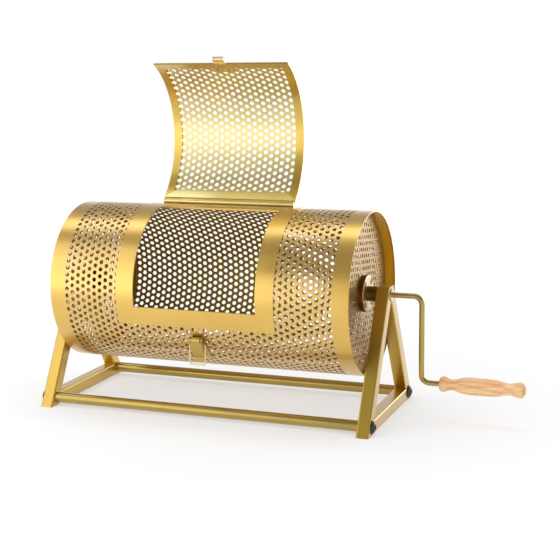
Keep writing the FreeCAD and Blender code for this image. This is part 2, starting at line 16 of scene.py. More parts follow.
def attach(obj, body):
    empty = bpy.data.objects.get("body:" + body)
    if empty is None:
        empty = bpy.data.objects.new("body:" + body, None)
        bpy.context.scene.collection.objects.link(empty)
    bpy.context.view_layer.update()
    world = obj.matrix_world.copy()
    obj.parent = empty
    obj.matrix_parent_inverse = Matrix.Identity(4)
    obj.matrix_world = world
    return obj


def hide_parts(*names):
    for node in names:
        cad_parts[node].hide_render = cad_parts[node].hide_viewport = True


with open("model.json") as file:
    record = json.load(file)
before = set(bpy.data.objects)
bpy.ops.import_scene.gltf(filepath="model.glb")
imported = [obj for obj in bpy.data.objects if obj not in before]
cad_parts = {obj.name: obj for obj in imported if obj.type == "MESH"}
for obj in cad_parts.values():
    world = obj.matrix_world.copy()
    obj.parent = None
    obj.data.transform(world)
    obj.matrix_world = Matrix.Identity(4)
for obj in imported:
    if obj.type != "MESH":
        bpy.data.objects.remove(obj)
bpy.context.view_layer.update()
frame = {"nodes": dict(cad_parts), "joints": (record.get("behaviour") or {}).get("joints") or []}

# %% [markdown]
# ## Sizes
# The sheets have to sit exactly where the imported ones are, so these sizes repeat those of the part. Angles
# go round the drum's axis: 0 is the front, 90 the top. All lengths are in metres. The model's origin is
# under the foot on the crank's side, so the middle of the drum is a quarter of a metre to the left of it.

# %% Sizes of the drum, its door and its holes
MIDDLE_X = -0.251
AXIS_Z = 0.182
SHELL_OUT = 0.120
SHELL_IN = 0.1188
HALF_LENGTH = 0.2325
OPENING_HALF = 0.0955
OPENING_LOW, OPENING_HIGH = -7.5, 80.5
HOLE_RADIUS = 0.0033
COLUMN_PITCH = 0.0090933
COLUMNS = 46
ROWS = 72
FIRST_COLUMN = -COLUMN_PITCH * (COLUMNS - 1) / 2
ROW_DEGREES = 360.0 / ROWS
DISC_X = 0.2175
DISC_THICK = 0.0012
DISC_STEP = 0.01048
DISC_TURN = math.radians(-6.8)
DOOR_OPEN = 134.0
joints = {j["name"]: j for j in frame["joints"]}
HINGE = np.array(joints["door_hinge"]["pos_m"])
print("hinge axis at", HINGE)

# %% [markdown]
# ## The camera
# The photograph was taken from the front right, a little above the drum. The camera's place and lens were
# worked out from the drum's rim, the feet and the rods, for a square picture of 560 by 560 pixels.

# %% Camera
CAMERA_PLACE = Vector((MIDDLE_X + 0.74086, -1.72403, 0.5323))
YAW, PITCH, ROLL = math.radians(20.73), math.radians(10.38), math.radians(-0.70)
FOCAL_PIXELS = 1258.29
FRAME_PIXELS = 560


def aim_camera():
    """Camera axes from yaw, pitch and roll: forward, then right and up turned about it by the roll."""
    forward = Vector((-math.sin(YAW) * math.cos(PITCH), math.cos(YAW) * math.cos(PITCH), -math.sin(PITCH)))
    right = Vector((math.cos(YAW), math.sin(YAW), 0.0))
    up = right.cross(forward)
    right, up = right * math.cos(ROLL) + up * math.sin(ROLL), up * math.cos(ROLL) - right * math.sin(ROLL)
    data = bpy.data.cameras.new("camera")
    data.sensor_width = 36.0
    data.lens = data.sensor_width * FOCAL_PIXELS / FRAME_PIXELS
    data.clip_start, data.clip_end = 0.05, 50.0
    camera = bpy.data.objects.new("camera", data)
    bpy.context.scene.collection.objects.link(camera)
    axes = Matrix((right, up, -forward)).transposed().to_4x4()
    camera.matrix_world = Matrix.Translation(CAMERA_PLACE) @ axes
    bpy.context.scene.camera = camera
    return camera


camera = aim_camera()
print("lens", round(camera.data.lens, 2), "mm")

# %% [markdown]
# ## Shader maths as Python expressions
# A material's pattern is a sum of small formulas. One class wraps a socket, so that a plus or a times adds
# the Math node for it. A second class wraps a node tree, and its one method makes any other node. The third
# is a material: such a tree with a main shader in it.


# %% The socket, the tree and the material
class Signal:
    """A number that a shader works out at each point. Arithmetic on it adds Math nodes."""

    def __init__(self, owner, socket):
        self.owner, self.socket = owner, socket

    def _math(self, operation, first, second):
        return self.owner.node("ShaderNodeMath", {"operation": operation}, {0: first, 1: second})

    def __add__(self, other):
        return self._math("ADD", self, other)

    __radd__ = __add__

    def __sub__(self, other):
        return self._math("SUBTRACT", self, other)

    def __rsub__(self, other):
        return self._math("SUBTRACT", other, self)

    def __mul__(self, other):
        return self._math("MULTIPLY", self, other)

    __rmul__ = __mul__


class NodeTree:
    """A node tree, and the method that adds any node to it."""

    def __init__(self, tree):
        self.tree = tree

    def node(self, kind, settings, inputs, output=0):
        """Adds a node, sets its settings, then its sockets by value or by link, and returns one output."""
        made = self.tree.nodes.new(kind)
        for key, value in settings.items():
            setattr(made, key, value)
        for key, value in inputs.items():
            self.feed(made.inputs[key], value)
        return Signal(self, made.outputs[output])

    def feed(self, socket, value):
        """Links a signal to a socket, or sets the socket to a plain value."""
        if isinstance(value, Signal):
            self.tree.links.new(value.socket, socket)
        else:
            socket.default_value = value

    def is_ray(self, kind):
        """1 for the light rays of one kind, such as Camera or Glossy, and 0 for the others."""
        return self.node("ShaderNodeLightPath", {}, {}, f"Is {kind} Ray")


class Finish(NodeTree):
    """One material: its node tree, its main shader, and the patterns that feed it."""

    def __init__(self, name):
        self.material = bpy.data.materials.new(name)
        self.material.use_nodes = True
        super().__init__(self.material.node_tree)
        self.shader = self.tree.nodes["Principled BSDF"]

    def place(self, scale=(1.0, 1.0, 1.0), shift=(0.0, 0.0, 0.0)):
        """Object coordinates, shifted and stretched, so a pattern stays on its piece."""
        where = self.node("ShaderNodeTexCoord", {}, {}, "Object")
        return self.node("ShaderNodeMapping", {}, {"Vector": where, "Location": shift, "Scale": scale})

    def noise(self, where, scale, detail=3.0, roughness=0.5):
        """Cloudy random pattern, 0 to 1."""
        return self.node("ShaderNodeTexNoise", {}, {"Vector": where, "Scale": scale, "Detail": detail,
                                                    "Roughness": roughness})

    def blend(self, share, first, second):
        """Colour between two colours, by a share from 0 to 1."""
        ends = [end if isinstance(end, Signal) else (*end, 1.0) for end in (first, second)]
        return self.node("ShaderNodeMix", {"data_type": "RGBA"}, {0: share, 6: ends[0], 7: ends[1]}, 2)

    def set(self, **values):
        """Sets the main shader's sockets, with underscores for spaces."""
        for key, value in values.items():
            self.feed(self.shader.inputs[key.replace("_", " ")], value)


def from_srgb(red, green, blue):
    """A colour as a screen shows it, 0 to 255, turned into the linear values that shaders use."""
    values = np.array([red, green, blue]) / 255.0
    linear = np.where(values <= 0.04045, values / 12.92, ((values + 0.055) / 1.055) ** 2.4)
    return tuple(float(v) for v in linear)


print("middle grey in linear light", round(from_srgb(128, 128, 128)[0], 3))

# %% [markdown]
# ## The gold finish
# The sheets and bars are steel with a satin gold coat. Satin means that fine parallel scratches spread each
# reflection, so the roughness is middling and varies a little along the brushing. Small cloudy changes of
# colour keep it from looking like one flat paint. A clear coat over the metal adds a second, paler shine,
# as lacquer does. Each kind of piece has its own pair of golds, paler or darker, more or less saturated. The
# dark golds of the drum's inside, the turned rims and the bearing sleeves are painted shade.


# %% Gold and pale metal
EVEN = (1.0, 1.0, 1.0)
ROUND_DRUM, ALONG_DRUM = (1.0, 0.12, 0.12), (0.12, 1.0, 1.0)
ALONG_TUBE, ALONG_ROD = (1.0, 0.2, 0.2), (0.15, 1.0, 1.0)


def gold_finish(name, deep, light, roughness, streaked, coat=1.0):
    """Satin gold under lacquer: metal whose colour drifts between two golds, and whose roughness has streaks.
    The golds are screen colours, 0 to 255. The streaks run the way in which their pattern is scaled down."""
    gold = Finish(name)
    clouds = gold.noise(gold.place(), 14.0, detail=2.0)
    streaks = gold.noise(gold.place(scale=streaked), 60.0, detail=4.0, roughness=0.6)
    colour = gold.blend(clouds * 0.7 + streaks * 0.3, from_srgb(*deep), from_srgb(*light))
    bump = gold.node("ShaderNodeBump", {}, {"Strength": 0.035, "Distance": 0.0004, "Height": streaks})
    gold.set(Base_Color=colour, Metallic=1.0, Roughness=roughness - 0.06 + streaks * 0.12, Normal=bump)
    gold.set(Coat_Weight=coat, Coat_Roughness=0.24, Coat_IOR=1.65)
    return gold.material


gold_sheet = gold_finish("gold_sheet", (216, 170, 64), (234, 194, 90), 0.33, ROUND_DRUM)
gold_mesh = gold_finish("gold_mesh", (212, 168, 86), (232, 194, 116), 0.33, ROUND_DRUM)
# painted shade: the inner faces of the shell and the discs get a darker gold with no coat, for the shade
# inside the drum
gold_inside_shade = gold_finish("gold_inside_shade", (146, 122, 40), (170, 146, 60), 0.50, ROUND_DRUM, 0.0)
gold_disc = gold_finish("gold_disc", (178, 146, 92), (202, 170, 118), 0.42, ALONG_DRUM, 0.3)
# painted shade: the turned rims get a dark gold with no coat, for the shade that they lie in
gold_rim_shade = gold_finish("gold_rim_shade", (148, 100, 10), (172, 124, 26), 0.33, EVEN, 0.0)
gold_tube = gold_finish("gold_tube", (192, 152, 34), (216, 178, 58), 0.34, ALONG_TUBE)
gold_door = gold_finish("gold_door", (204, 186, 108), (226, 210, 142), 0.40, ALONG_DRUM)
gold_border = gold_finish("gold_border", (196, 158, 44), (222, 188, 74), 0.33, ALONG_DRUM)
gold_hinge = gold_finish("gold_hinge", (210, 194, 116), (232, 218, 146), 0.34, ALONG_ROD)
gold_bar = gold_finish("gold_bar", (162, 134, 42), (190, 162, 68), 0.28, ALONG_ROD)
gold_wire = gold_finish("gold_wire", (226, 204, 140), (242, 224, 170), 0.28, EVEN)
gold_latch = gold_finish("gold_latch", (178, 142, 44), (204, 170, 70), 0.30, ALONG_TUBE)
# painted shade: a dark gold for the bearing sleeves, which lie in shade; the hub's rivets share it
gold_shaded = gold_finish("gold_shaded", (104, 74, 12), (134, 100, 28), 0.34, ALONG_TUBE, 0.2)
pale_metal = gold_finish("pale_metal", (196, 172, 122), (226, 206, 164), 0.32, EVEN)
print("gold and pale finishes", len(bpy.data.materials))

# %% [markdown]
# The bolts are blackened steel. The grip is turned beech, waxed, so its grain runs along it in soft light
# and dark bands with a few short darker flecks.


# %% Black steel and wood
def black_finish():
    """Blackened steel for screws: nearly black, satin, with faint mottling."""
    black = Finish("black_steel")
    mottle = black.noise(black.place(), 320.0)
    colour = black.blend(mottle, from_srgb(22, 21, 20), from_srgb(44, 42, 40))
    black.set(Base_Color=colour, Metallic=0.6, Roughness=0.22 + mottle * 0.12)
    black.set(Coat_Weight=0.5, Coat_Roughness=0.12)
    return black.material


def wood_finish():
    """Turned beech: pale, with soft grain lines along the handle and short darker flecks."""
    wood = Finish("grip_wood")
    lines = wood.noise(wood.place(scale=(0.08, 1.0, 1.0)), 190.0, detail=4.0, roughness=0.6)
    grain = wood.node("ShaderNodeMapRange", {}, {"Value": lines, "From Min": 0.36, "From Max": 0.64})
    flecks = wood.noise(wood.place(scale=(0.10, 1.0, 1.0)), 900.0, detail=2.0)
    dark = wood.node("ShaderNodeMapRange", {}, {"Value": flecks, "From Min": 0.60, "From Max": 0.75,
                                                "To Min": 0.0, "To Max": 0.45})
    base = wood.blend(grain, from_srgb(252, 218, 166), from_srgb(232, 162, 98))
    colour = wood.blend(dark, base, from_srgb(190, 124, 70))
    height = grain - dark * 0.5
    bump = wood.node("ShaderNodeBump", {}, {"Strength": 0.10, "Distance": 0.0003, "Height": height})
    wood.set(Base_Color=colour, Roughness=0.34 + grain * 0.12, Normal=bump)
    wood.set(Coat_Weight=0.35, Coat_Roughness=0.15)
    return wood.material


black_steel = black_finish()
grip_wood = wood_finish()
print("finishes", len(bpy.data.materials))

# %% [markdown]
# The hub of each end is turned steel. Its flat face is polished pale, and its edge gets a dark brown as
# painted shade, so this finish goes from one to the other by the distance from the middle of the drum, over
# 0.3 mm. Two finishes on two sets of its faces would do as well, but a imported piece's mesh is left alone.


# %% The hub's polished face and its edge in painted shade
HUB_FACE = 0.2255
EDGE_ENDS, FACE_STARTS = HUB_FACE - 0.0007, HUB_FACE - 0.0004


def hub_finish():
    """Steel that is pale where the distance along the axis from the drum's middle reaches the hub's face, and
    dark before it as painted shade on the edge.
    """
    hub = Finish("hub_steel")
    along = hub.node("ShaderNodeSeparateXYZ", {}, {0: hub.place(shift=(-MIDDLE_X, 0.0, 0.0))}, "X")
    away = hub.node("ShaderNodeMath", {"operation": "ABSOLUTE"}, {0: along})
    face = hub.node("ShaderNodeMapRange", {}, {"Value": away, "From Min": EDGE_ENDS, "From Max": FACE_STARTS})
    turned = hub.noise(hub.place(), 420.0, detail=2.0)
    pale = hub.blend(turned, from_srgb(214, 192, 150), from_srgb(238, 222, 188))
    # painted shade: dark brown on the hub's edge, blending into the pale face
    steel = hub.blend(face, from_srgb(120, 80, 30), pale)
    hub.set(Base_Color=steel, Metallic=1.0, Roughness=0.30 + turned * 0.10)
    return hub.material


hub_steel = hub_finish()
print("hub face at", HUB_FACE, "m from the middle")

# %% [markdown]
# ## A punched sheet
# Punched sheet has its holes in staggered rows. Cutting thousands of cylinders out of a tube with the
# Boolean modifier is slow and leaves ragged faces, and holes that are only painted on have no edge. So each
# hole gets one rectangular cell of sheet, worked out as numbers. Cells of neighbouring columns are shifted
# by half a cell, like bricks, and each cell's border carries twelve points, so that every corner of a
# neighbour meets a point of this one. Twelve quads join the border to the hole, and twelve more line it.
# The same flat pattern is then wrapped on a cylinder for the shell, and on a wider one for the door.


# %% The cell of one hole
HOLE_SIDES = 12    # as many as a cell's border has points
TINY = 1e-6


def cell_pattern(width, height, radius):
    """Twelve border points of a cell, and the twelve points of its hole, as flat offsets from its centre."""
    w, h = width / 2, height / 2
    border = np.array([(w, 0), (w, h), (w / 2, h), (0, h), (-w / 2, h), (-w, h),
                       (-w, 0), (-w, -h), (-w / 2, -h), (0, -h), (w / 2, -h), (w, -h)])
    turn = np.radians(np.arange(HOLE_SIDES) * 360.0 / HOLE_SIDES)
    hole = radius * np.stack([np.cos(turn), np.sin(turn)], 1)
    return border, hole


def punched_cells(centres, width, height, radius):
    """Flat corner points and quads of many cells: for each cell, its border ring, then its hole ring."""
    border, hole = cell_pattern(width, height, radius)
    rings = np.concatenate([border, hole])[None] + centres[:, None, :]
    step = np.arange(HOLE_SIDES)
    following = (step + 1) % HOLE_SIDES
    quad = np.stack([step, following, HOLE_SIDES + following, HOLE_SIDES + step], 1)
    quads = quad[None] + 2 * HOLE_SIDES * np.arange(len(centres))[:, None, None]
    return rings.reshape(-1, 2), quads.reshape(-1, 4)


def strip_cells(low, high, step):
    """Flat corner points and quads of plain rectangles, cut in the second direction at most a step apart."""
    points, quads = [], []
    for (u0, v0), (u1, v1) in zip(low, high):
        cuts = max(1, int(math.ceil((v1 - v0) / step - TINY)))
        v = np.linspace(v0, v1, cuts + 1)
        base = sum(len(p) for p in points)
        points.append(np.stack([np.tile([u0, u1], cuts + 1), np.repeat(v, 2)], 1))
        row = base + 2 * np.arange(cuts)
        quads.append(np.stack([row, row + 1, row + 3, row + 2], 1))
    return np.concatenate(points), np.concatenate(quads)


def joined(*parts):
    """Several sets of points and quads as one."""
    points, quads, base = [], [], 0
    for some_points, some_quads in parts:
        points.append(some_points)
        quads.append(some_quads + base)
        base += len(some_points)
    return np.concatenate(points), np.concatenate(quads)


hole_area, cell_area = math.pi * HOLE_RADIUS ** 2, COLUMN_PITCH * SHELL_OUT * math.radians(ROW_DEGREES)
print("a hole takes", round(hole_area / cell_area, 2), "of its cell")


# %% [markdown]
# A sheet has a thickness, which shows in the wall of each hole. A Solidify modifier could add it, but here
# the flat pattern is simply laid down twice, on the outer and on the inner face, and each open edge gets a
# wall. Then the two faces can have different finishes.


# %% From flat points to a sheet with a thickness
WELD_DIGITS = 6


def welded(points, quads):
    """Points that fall on the same place, as rounded, become one point."""
    _, first, back = np.unique(np.round(points, WELD_DIGITS), axis=0, return_index=True, return_inverse=True)
    return points[first], back.reshape(-1)[quads]


def open_edges(quads):
    """The edges that only one quad uses, each in that quad's direction."""
    edges = np.stack([quads, np.roll(quads, -1, 1)], 2).reshape(-1, 2)
    edges = edges[edges[:, 0] != edges[:, 1]]
    key = np.sort(edges, 1)
    _, index, count = np.unique(key, axis=0, return_index=True, return_counts=True)
    return edges[index[count == 1]]


def thick_sheet(name, flat, quads, shape, finishes, body):
    """Mesh of a sheet: shape maps flat points to the outer and the inner face, and a wall joins them at each
    edge. The first finish is for the outer face and the walls, and the last one for the inner face."""
    flat, quads = welded(flat, quads)
    outer, inner = shape(flat)
    count = len(flat)
    rim = open_edges(quads)
    walls = np.stack([rim[:, 1], rim[:, 0], rim[:, 0] + count, rim[:, 1] + count], 1)
    faces = quads.tolist() + (quads[:, ::-1] + count).tolist() + walls.tolist()
    mesh = bpy.data.meshes.new(name)
    mesh.from_pydata(np.concatenate([outer, inner]).tolist(), [], faces)
    side = np.repeat([0, len(finishes) - 1, 0], [len(quads), len(quads), len(walls)])
    mesh.polygons.foreach_set("material_index", side.astype(np.int32))
    mesh.validate()
    piece = bpy.data.objects.new(name, mesh)
    bpy.context.scene.collection.objects.link(piece)
    for finish in finishes:
        mesh.materials.append(finish)
    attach(piece, body)
    print(name, "faces", len(mesh.polygons))
    return piece


def round_drum(inner_radius, outer_radius):
    """Map from flat points, x along the axis and degrees round it, to the two faces of a rolled sheet."""
    def shape(flat):
        along, turn = MIDDLE_X + flat[:, 0], np.radians(flat[:, 1])
        return [np.stack([along, -radius * np.cos(turn), AXIS_Z + radius * np.sin(turn)], 1)
                for radius in (outer_radius, inner_radius)]
    return shape


print("open edges of a lone square", len(open_edges(np.array([[0, 1, 2, 3]]))))

# %% [markdown]
# ## The drum's shell
# The shell is one sheet rolled into a tube, with 46 columns of holes along it and 72 holes round it. Odd
# columns have a hole right at the front, and even ones lie half a hole further. A plain margin is left at
# each end, and a window is cut out for the door. Cells that the window's edge crosses lie under the door's
# frame, so they are left plain and trimmed to the edge.


# %% Cells of the shell
def shell_cells():
    """Centres of the shell's holes, in metres along x and degrees round the axis."""
    column = np.repeat(np.arange(COLUMNS), ROWS)
    row = np.tile(np.arange(ROWS), COLUMNS)
    shift = np.where(column % 2 == 0, 0.5, 0.0)
    degrees = (row + shift) * ROW_DEGREES - 180.0 + ROW_DEGREES
    return np.stack([FIRST_COLUMN + column * COLUMN_PITCH, degrees], 1)


def sort_by_window(centres):
    """Cells clear of the window keep their hole. Of a cell on its edge, the plain rest outside it stays."""
    low = centres - np.array([COLUMN_PITCH, ROW_DEGREES]) / 2
    high = centres + np.array([COLUMN_PITCH, ROW_DEGREES]) / 2
    inside = ((high[:, 0] > -OPENING_HALF) & (low[:, 0] < OPENING_HALF)
              & (high[:, 1] > OPENING_LOW) & (low[:, 1] < OPENING_HIGH))
    rest_low, rest_high = [], []
    for (u0, v0), (u1, v1) in zip(low[inside], high[inside]):
        w0, w1 = max(u0, -OPENING_HALF), min(u1, OPENING_HALF)
        pieces = [((u0, v0), (w0, v1)), ((w1, v0), (u1, v1)),
                  ((w0, v0), (w1, min(v1, OPENING_LOW))), ((w0, max(v0, OPENING_HIGH)), (w1, v1))]
        for (a0, b0), (a1, b1) in pieces:
            if a1 - a0 > TINY and b1 - b0 > TINY:
                rest_low.append((a0, b0))
                rest_high.append((a1, b1))
    return centres[~inside], (rest_low, rest_high)


whole_cells, window_rest = sort_by_window(shell_cells())
print("holes in the shell", len(whole_cells))


# %% The shell in three lengths
def punched_in_degrees(centres):
    """Cells for a rolled sheet: the hole is round on the sheet, so its height is turned into degrees."""
    degrees = math.degrees(1.0 / SHELL_OUT)
    flat, quads = punched_cells(centres * np.array([1.0, 1.0 / degrees]), COLUMN_PITCH,
                                ROW_DEGREES / degrees, HOLE_RADIUS)
    return flat * np.array([1.0, degrees]), quads


def wrap_degrees(flat):
    """Angles a full turn apart become the same."""
    turned = flat.copy()
    turned[:, 1] = np.round((turned[:, 1] + 180.0) % 360.0 - 180.0, 4)
    turned[:, 1] = np.where(turned[:, 1] >= 179.9999, -180.0, turned[:, 1])
    return turned


HOLES_START = FIRST_COLUMN - COLUMN_PITCH / 2
SHELL_CUT = 0.08
SHELL_ENDS = (-HALF_LENGTH, -SHELL_CUT, SHELL_CUT, HALF_LENGTH)
shell_shape = round_drum(SHELL_IN, SHELL_OUT)
margins = strip_cells([(-HALF_LENGTH, -180.0), (-HOLES_START, -180.0)],
                      [(HOLES_START, 180.0), (HALF_LENGTH, 180.0)], ROW_DEGREES / 2)
shell_parts = []
for name, low, high in zip(("shell_left", "shell_middle", "shell_right"), SHELL_ENDS, SHELL_ENDS[1:]):
    mine = (whole_cells[:, 0] > low) & (whole_cells[:, 0] <= high)
    parts = [punched_in_degrees(whole_cells[mine])]
    picked = [(a, b) for a, b in zip(*window_rest) if low < (a[0] + b[0]) / 2 <= high]
    if picked:
        parts.append(strip_cells([a for a, _ in picked], [b for _, b in picked], ROW_DEGREES / 2))
    if name != "shell_middle":
        side = margins[0][:, 0] < 0 if name == "shell_left" else margins[0][:, 0] > 0
        kept = side[margins[1]].all(1)
        parts.append((margins[0], margins[1][kept]))
    flat, quads = joined(*parts)
    flat = wrap_degrees(flat)
    used, quads = np.unique(quads, return_inverse=True)
    shell_parts.append(thick_sheet(name, flat[used], quads.reshape(-1, 4), shell_shape,
                                   [gold_mesh, gold_inside_shade], "drum"))
for piece in (shell_parts[0], shell_parts[2]):
    piece.data.materials.append(gold_sheet)
    for polygon in piece.data.polygons:
        along = abs(polygon.center.x - MIDDLE_X)
        if along > DISC_X or (along > -HOLES_START and polygon.material_index == 0):
            polygon.material_index = 2
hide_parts("drum_shell")

# %% [markdown]
# ## The end discs
# Each end is a disc of the same sheet, set back inside the tube, and its rim is turned outwards. Its holes
# stand on a straight lattice, so they don't follow its round edge, and brick-like cells wouldn't either.
# Only the whole holes are kept. A constrained triangulation then fills the flat sheet between the holes,
# the round edge and the hole of the hub. The turned rim is a profile carried round the axis.


# %% The flat pattern of a disc
DISC_HOLES_RADIUS = 0.1035
DISC_MIDDLE_RADIUS = 0.0300
HUB_HOLE_RADIUS = 0.0141
DISC_EDGE_RADIUS = SHELL_IN - 0.0013
DISC_HOLE_SIDES = 10
HUB_HOLE_SIDES = 48
RIM_SIDES = 144
HOLE_CHORD, HUB_CHORD = 0.97, 0.99
POINT_GAP = 1e-7


def circle(centre, radius, count):
    """Points of a circle: the centre plus the radius times cosine and sine of even turns."""
    turn = np.arange(count) * 2 * np.pi / count
    return centre + radius * np.stack([np.cos(turn), np.sin(turn)], 1)


def disc_holes():
    """Hole places in rows, each row shifted by half a step. The whole lattice is turned a little, and only
    the holes between the hub's plain patch and the plain margin are kept."""
    count = int(DISC_HOLES_RADIUS / COLUMN_PITCH) + 2
    span = np.arange(-count, count + 1)
    row, step = np.repeat(span, len(span)), np.tile(span, len(span))
    along, up = (step + (row % 2) * 0.5) * DISC_STEP, row * COLUMN_PITCH
    c, s = math.cos(DISC_TURN), math.sin(DISC_TURN)
    places = np.stack([along * c - up * s, along * s + up * c], 1)
    away = np.hypot(places[:, 0], places[:, 1])
    return places[(away < DISC_HOLES_RADIUS) & (away > DISC_MIDDLE_RADIUS)]


def disc_flat():
    """Flat points and triangles of a punched disc: all triangles whose middle is in no hole. The sides of a
    hole are chords, which lie a little inside its circle, so its reach is a share of its radius."""
    holes = disc_holes()
    centre = np.zeros(2)
    loops = [circle(centre, DISC_EDGE_RADIUS, RIM_SIDES), circle(centre, HUB_HOLE_RADIUS, HUB_HOLE_SIDES)]
    loops += [circle(hole, HOLE_RADIUS, DISC_HOLE_SIDES) for hole in holes]
    starts = np.cumsum([0] + [len(loop) for loop in loops])
    edges = [(int(a + i), int(a + (i + 1) % n)) for a, n in zip(starts, map(len, loops)) for i in range(n)]
    corners = [Vector(q) for q in np.concatenate(loops)]
    points, _, faces, *_ = delaunay_2d_cdt(corners, edges, [], 0, POINT_GAP)
    points, faces = np.array([tuple(q) for q in points]), np.array(faces)
    middle = points[faces].mean(1)
    near = np.hypot(*(middle[:, None] - holes[None]).transpose(2, 0, 1)).min(1)
    kept = (near > HOLE_RADIUS * HOLE_CHORD) & (np.hypot(*middle.T) > HUB_HOLE_RADIUS * HUB_CHORD)
    return points, faces[kept]


def flat_disc(sign):
    """Map from a flat disc to the two faces of an end disc that looks along +x or -x."""
    def shape(flat):
        across = AXIS_Z + flat[:, 1]
        return [np.stack([np.full(len(flat), MIDDLE_X + sign * x), sign * flat[:, 0], across], 1)
                for x in (DISC_X, DISC_X - DISC_THICK)]
    return shape


print("holes in a disc", len(disc_holes()))


# %% The discs and their turned rims
RIM_LIP_X = 0.2303
RIM_GAP, RIM_THICK, RIM_BEND = 0.00005, 0.0012, 0.0012
BEND_POINTS = 5
FILLET_REACH, FILLET_DROP = 0.0003, 0.0004


def lathe(name, profile, material, body):
    """Closed ring: a loop of (x, radius) points turned about the drum's axis in even steps."""
    turn = np.radians(np.arange(RIM_SIDES) * 360.0 / RIM_SIDES)
    x, radius = np.array(profile).T
    grid = np.stack([np.broadcast_to(MIDDLE_X + x, (RIM_SIDES, len(x))), -np.outer(np.cos(turn), radius),
                     AXIS_Z + np.outer(np.sin(turn), radius)], 2)
    row, col = np.meshgrid(np.arange(RIM_SIDES), np.arange(len(x)), indexing="ij")
    here, over = row * len(x), ((row + 1) % RIM_SIDES) * len(x)
    next_col = (col + 1) % len(x)
    faces = np.stack([here + col, over + col, over + next_col, here + next_col], 2).reshape(-1, 4)
    mesh = bpy.data.meshes.new(name)
    mesh.from_pydata(grid.reshape(-1, 3).tolist(), [], faces.tolist())
    piece = bpy.data.objects.new(name, mesh)
    bpy.context.scene.collection.objects.link(piece)
    mesh.materials.append(material)
    for polygon in mesh.polygons:
        polygon.use_smooth = True
    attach(piece, body)
    print(name, "faces", len(mesh.polygons))


def rim_profile(sign):
    """Loop of the turned rim: in along the shell, round a small bend to the disc, and back out to the lip."""
    outside = SHELL_IN - RIM_GAP
    inside = outside - RIM_THICK
    arc = np.radians(np.linspace(0.0, 90.0, BEND_POINTS))
    back = DISC_X - DISC_THICK
    corner = [(back + RIM_BEND * (1.0 - math.sin(a)), outside - RIM_BEND * (1.0 - math.cos(a))) for a in arc]
    loop = [(RIM_LIP_X, outside)] + corner
    loop += [(back, inside - FILLET_DROP), (DISC_X, inside - FILLET_DROP)]
    loop += [(DISC_X + FILLET_REACH, inside), (RIM_LIP_X, inside)]
    loop = [(sign * x, r) for x, r in loop]
    return loop if sign > 0 else loop[::-1]


for sign, side in ((-1, "left"), (1, "right")):
    disc = thick_sheet(f"{side}_disc", *disc_flat(), flat_disc(sign), [gold_disc, gold_inside_shade], "drum")
    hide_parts(f"{side}_end_disc")
    lathe(f"{side}_rim", rim_profile(sign), gold_rim_shade, "drum")

# %% [markdown]
# ## The door's sheet
# The door is a piece of the same punched sheet, curved a little wider than the drum, and paler on its inner
# face. Its columns of holes start from its own middle, half a column off the drum's. It is worked out
# closed, on its own radius, and then turned about the hinge by the angle at which the photograph shows it
# open.

# %% The door sheet
DOOR_HALF = 0.107
DOOR_LOW, DOOR_HIGH = -17.0, 95.16
DOOR_COLUMNS = np.arange(-11, 12)
DOOR_ROWS_END = 40
PANEL_IN, PANEL_OUT = 0.12313, 0.12413


def swung(points):
    """Points of the closed door, turned about the hinge to the open position."""
    turn = -math.radians(DOOR_OPEN)
    y, z = points[:, 1] - HINGE[1], points[:, 2] - HINGE[2]
    return np.stack([points[:, 0], HINGE[1] + y * math.cos(turn) - z * math.sin(turn),
                     HINGE[2] + y * math.sin(turn) + z * math.cos(turn)], 1)


def door_cells():
    """Centres of the door's holes: even columns on whole rows of 5 degrees, odd ones half a row higher."""
    centres = []
    for column in DOOR_COLUMNS:
        shift = 0.5 if column % 2 else 0.0
        row = np.arange(math.ceil(DOOR_LOW / ROW_DEGREES + 0.5 - shift), DOOR_ROWS_END)
        row = row[(row + shift + 0.5) * ROW_DEGREES <= DOOR_HIGH]
        centres.append(np.stack([np.full(len(row), column * COLUMN_PITCH), (row + shift) * ROW_DEGREES], 1))
    return centres


def door_flat():
    """Flat pattern of the door: its cells, a plain strip over and under each column, and one at each side."""
    columns = door_cells()
    low, high = [], []
    for cells in columns:
        left, right = cells[0, 0] - COLUMN_PITCH / 2, cells[0, 0] + COLUMN_PITCH / 2
        bottom, top = cells[0, 1] - ROW_DEGREES / 2, cells[-1, 1] + ROW_DEGREES / 2
        low += [(left, DOOR_LOW), (left, top)]
        high += [(right, bottom), (right, DOOR_HIGH)]
    edge = COLUMN_PITCH * (DOOR_COLUMNS[-1] + 0.5)
    for left, right in ((-DOOR_HALF, -edge), (edge, DOOR_HALF)):
        bottom, top = columns[0][0, 1] - ROW_DEGREES / 2, columns[0][-1, 1] + ROW_DEGREES / 2
        low += [(left, DOOR_LOW), (left, bottom), (left, top)]
        high += [(right, bottom), (right, top), (right, DOOR_HIGH)]
    return joined(punched_in_degrees(np.concatenate(columns)), strip_cells(low, high, ROW_DEGREES / 2))


def open_door(flat):
    """Closed door on its own radius, then turned about the hinge."""
    return [swung(face) for face in round_drum(PANEL_IN, PANEL_OUT)(flat)]


door_sheet = thick_sheet("door_sheet", *door_flat(), open_door, [gold_mesh, gold_door], "door")
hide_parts("door_panel")

# %% [markdown]
# ## The imported pieces
# Everything else keeps its imported shape. Its plain colour is replaced by the finish that the real piece
# has, and the bearing sleeves and the hubs' edges get painted shade. The square tubes of the stand are the
# pieces that the table doesn't name.

